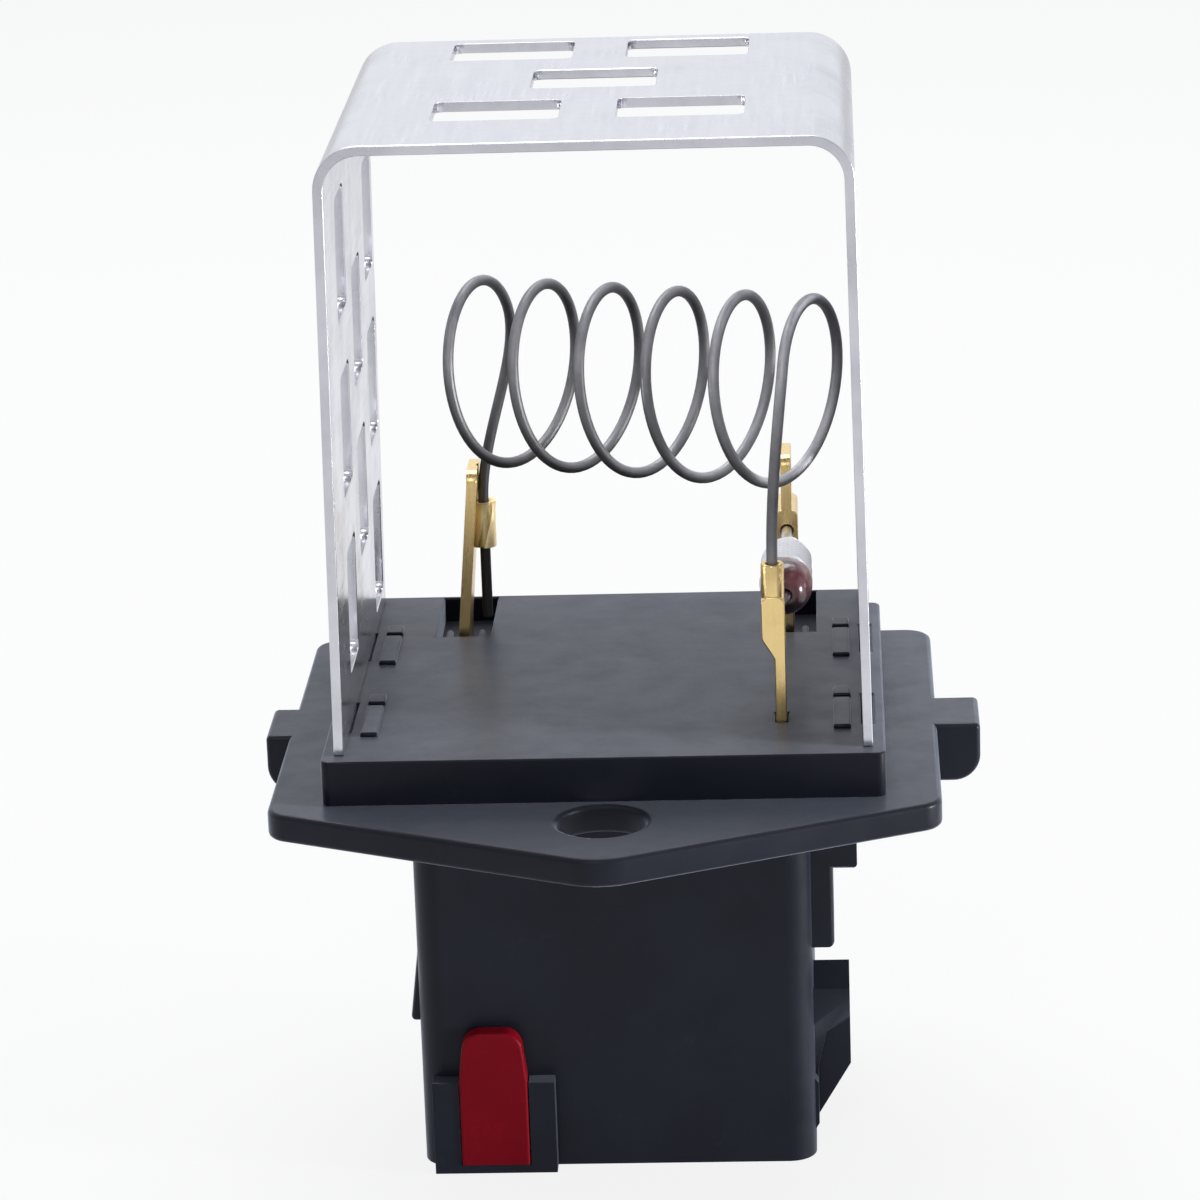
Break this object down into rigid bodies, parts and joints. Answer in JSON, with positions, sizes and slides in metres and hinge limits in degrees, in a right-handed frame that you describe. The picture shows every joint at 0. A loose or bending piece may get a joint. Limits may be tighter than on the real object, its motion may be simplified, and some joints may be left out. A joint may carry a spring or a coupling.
{
  "type": "cooling fan resistor",
  "caption": "Plug-in resistor for a radiator fan: wire coil and thermal fuse on brass terminals under a perforated metal guard, on a screw flange with a plug socket below.",
  "frame": {"origin": "axis of the flange's screw hole, in the plane of the flange's underside that seats on the fan shroud", "axes": "+X to the right, +Y from the screw tab to the back, +Z out of the seat towards the guard"},
  "size_m": [0.0662, 0.0627, 0.0981],
  "materials": {
    "housing": "satin moulded",
    "plate": "satin moulded",
    "guard": "bright rolled sheet",
    "wire": "drawn, oxidised grey",
    "brass": "stamped",
    "sleeve": "woven glass sleeve",
    "resin": "cured resin",
    "tinned": "tin plated",
    "ceramic": "unglazed",
    "pellet": "pressed organic compound",
    "lock": "moulded"
  },
  "bodies": {
    "base": {"connector_housing": "housing", "terminal_plate": "plate", "guard": "guard", "resistor_coil": "wire", "left_terminal": "brass", "front_terminal": "brass", "rear_terminal": "brass", "fuse_sleeve": "sleeve", "fuse_case": "tinned", "fuse_bead": "resin", "fuse_front_lead": "tinned", "fuse_rear_lead": "tinned", "fuse_bushing": "ceramic", "fuse_contact": "tinned", "fuse_spring": "tinned", "fuse_pellet": "pellet"},
    "lock": {"lock_slide": "lock"}
  },
  "joints": [
    {"name": "lock_travel", "type": "slide", "parent": "base", "child": "lock", "axis": [0, 0, 1], "range_m": [0, 0.004]}
  ]
}
